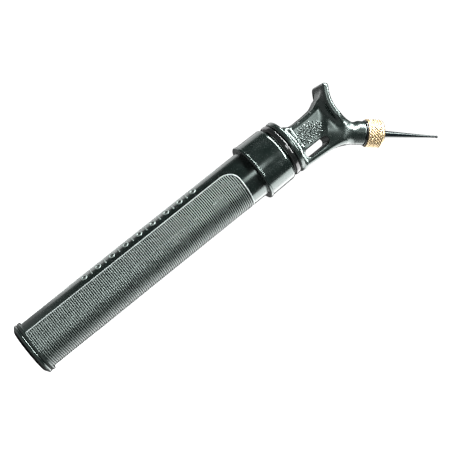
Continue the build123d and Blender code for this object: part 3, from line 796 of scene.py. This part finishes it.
def make_nut():
    """Brass nut with a diamond knurl, a domed end and a hole for the adaptor."""
    columns = KNURL_TEETH * 14
    w = np.arange(*KNURL_SPAN, 0.13)
    angle = np.arange(columns) * TAU / columns
    radius = knurl_radius(*np.meshgrid(angle, w))
    foot = [np.full(columns, r) for r, _ in NUT_FOOT]
    dome = [np.full(columns, r) for r, _ in NUT_DOME]
    rings = foot + list(radius) + dome
    heights = [h for _, h in NUT_FOOT] + list(w) + [h for _, h in NUT_DOME]
    up = np.array(NOZZLE)
    side = np.array((NOZZLE.z, 0, -NOZZLE.x))
    across = np.cross(up, side)
    verts = np.concatenate([
        np.array(SEAT) + (r * np.cos(angle))[:, None] * side + (r * np.sin(angle))[:, None] * across + h * up
        for r, h in zip(rings, heights)])
    nut = make_object("knurled_nut_skin", verts, tube_faces(len(heights), columns), "nut", brass_look)
    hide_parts("knurled_nut")


make_nut()


# ---- raised marks on the smooth strip ---------------------------------------------------------------
MARK_LOW = 52.02
MARK_PITCH = 5.2
MARK_COUNT = 17
MARK_HEIGHT = 0.39
MARK_LINE = 1.0
MARK_RING_R = 2.25
BAR_HALF = 2.2
# (share of the line's half width, rise over the barrel) from one foot of a mark's section to its top
MARK_SECTION = [(1.0, -0.3), (1.0, 0.3 * MARK_HEIGHT), (0.8, 0.8 * MARK_HEIGHT), (0.45, MARK_HEIGHT)]


def make_marks():
    """Plain rings and bars, moulded on the smooth strip and bent to the barrel."""
    middle = GRIP_TURN - math.pi / 2
    verts, faces = [], []
    turn = np.linspace(0, TAU, 40, endpoint=False)
    ring = np.stack([np.cos(turn), np.sin(turn)], 1)
    half_line = MARK_LINE / 2
    ends = np.sign(ring[:, :1]) * [[BAR_HALF - half_line, 0]]

    def loop(points, rise, z):
        start = len(verts)
        for arc, dz in points:
            a, r = middle + arc / BARREL_R, BARREL_R + rise
            verts.append((r * math.cos(a), r * math.sin(a), z + dz))
        return range(start, len(verts))

    def bridge(a, b):
        for k in range(len(a)):
            m = (k + 1) % len(a)
            faces.append((a[k], a[m], b[m], b[k]))

    for i in range(MARK_COUNT):
        z = MARK_LOW + MARK_PITCH * i
        if i % 2:
            loops = [loop(ends + ring * half_line * w, rise, z) for w, rise in MARK_SECTION]
            faces.append(tuple(loops[-1]))
        else:
            section = MARK_SECTION + [(-w, rise) for w, rise in reversed(MARK_SECTION)]
            middle_r = MARK_RING_R - half_line
            loops = [loop(ring * (middle_r + half_line * w), rise, z) for w, rise in section]
        for a, b in zip(loops, loops[1:]):
            bridge(a, b)
    # the marks take the lighter crest grey, a painted highlight
    marks = make_object("grip_marks", verts, faces, "handle", crest_highlight_look)


make_marks()


# ---- stage, light and camera ------------------------------------------------------------------------
scene = bpy.context.scene
LEAN = math.radians(9.13)        # the head end is farther from the camera
SIDE_TURN = math.radians(6.0)    # the nozzle side is turned away a little
TILT = math.radians(38.95)       # slope of the barrel in the frame
VIEW_DISTANCE = 586.0
AIM_Z = 139.44                   # height on the barrel that the camera is level with
AIM_OFF = 16.2                   # how far the view's middle is off the barrel axis, on the nozzle side
LENS = 75.3304
FLOOR_DROP = 0.2                 # keeps the floor clear of the end cap's flat foot


def make_camera():
    """A level view of the barrel, leaned, turned and tilted by the angles above."""
    arm_side = Vector((-math.cos(SIDE_TURN), math.sin(SIDE_TURN), 0))
    to_camera = Vector((-math.sin(SIDE_TURN), -math.cos(SIDE_TURN), 0))
    barrel = Vector((0, 0, 1))
    forward = math.sin(LEAN) * barrel - math.cos(LEAN) * to_camera
    along = math.cos(LEAN) * barrel + math.sin(LEAN) * to_camera
    place = AIM_Z * barrel - VIEW_DISTANCE * forward - AIM_OFF * arm_side
    right = math.cos(TILT) * along - math.sin(TILT) * arm_side
    up = math.sin(TILT) * along + math.cos(TILT) * arm_side
    data = bpy.data.cameras.new("camera")
    data.lens = LENS
    data.sensor_width = 36.0
    data.clip_start, data.clip_end = 0.01, 20.0
    camera = bpy.data.objects.new("camera", data)
    scene.collection.objects.link(camera)
    turn = Matrix((right, up, -forward)).transposed()
    camera.matrix_world = Matrix.Translation(place * MM) @ turn.to_4x4()
    scene.camera = camera


def area_light(name, place_m, target_m, size_m, power):
    """A soft box turned to its target, itself out of the camera's sight."""
    data = bpy.data.lights.new(name, "AREA")
    data.shape = "RECTANGLE"
    data.size, data.size_y = size_m
    data.energy = power
    light = bpy.data.objects.new(name, data)
    light.location = place_m
    light.rotation_euler = (Vector(target_m) - Vector(place_m)).to_track_quat("-Z", "Y").to_euler()
    light.visible_camera = False
    scene.collection.objects.link(light)


def make_stage():
    """A round pale floor that the camera sees as plain white."""
    mesh = bpy.data.meshes.new("floor")
    reach_m, count = 3.0, 96
    turns = [TAU * k / count for k in range(count)]
    ring = [(reach_m * math.cos(t), reach_m * math.sin(t), -FLOOR_DROP * MM) for t in turns]
    mesh.from_pydata(ring, [], [tuple(range(count))])
    floor = bpy.data.objects.new("floor", mesh)
    scene.collection.objects.link(floor)
    n = Nodes("floor_white")
    n.link(n.mix(n.noise(3.0), (0.06, 0.06, 0.06), (0.07, 0.07, 0.07)), n.shader.inputs["Base Color"])
    n.shader.inputs["Roughness"].default_value = 0.9
    glow = n.add("ShaderNodeLightPath")
    n.link(n.maths("MULTIPLY", glow.outputs["Is Camera Ray"], 1.4), n.shader.inputs["Emission Strength"])
    n.shader.inputs["Emission Color"].default_value = (1, 1, 1, 1)
    mesh.materials.append(n.material)


def make_world():
    """White to the camera and dim to everything else, so that black plastic stays black."""
    world = bpy.data.worlds.new("studio")
    scene.world = world
    world.use_nodes = True
    tree = world.node_tree
    background = tree.nodes["Background"]
    background.inputs["Color"].default_value = (1, 1, 1, 1)
    background.inputs["Strength"].default_value = 0.07
    seen = tree.nodes.new("ShaderNodeBackground")
    seen.inputs["Color"].default_value = (1, 1, 1, 1)
    seen.inputs["Strength"].default_value = 1.1
    path = tree.nodes.new("ShaderNodeLightPath")
    mix = tree.nodes.new("ShaderNodeMixShader")
    tree.links.new(path.outputs["Is Camera Ray"], mix.inputs["Fac"])
    tree.links.new(background.outputs[0], mix.inputs[1])
    tree.links.new(seen.outputs[0], mix.inputs[2])
    tree.links.new(mix.outputs[0], tree.nodes["World Output"].inputs["Surface"])


make_camera()
make_stage()
make_world()
middle = (0.0, 0.0, 0.14)        # middle of the pump, in metres like the places below
area_light("above_front", (-0.25, -0.5, 1.0), middle, (2.1, 0.13), 120.0)
area_light("near_camera", (0.0, -0.8, 0.4), (0.0, 0.0, 0.2), (0.2, 0.08), 1.3)
area_light("nozzle_side", (0.8, 0.1, 0.2), middle, (0.42, 0.9), 8.5)
area_light("nozzle_back", (0.63, 0.49, 0.2), middle, (0.42, 0.9), 7.0)
area_light("arm_side", (-0.54, 0.65, 0.25), middle, (0.6, 0.9), 2.8)
scene.view_settings.view_transform = "Standard"
scene.view_settings.look = "None"
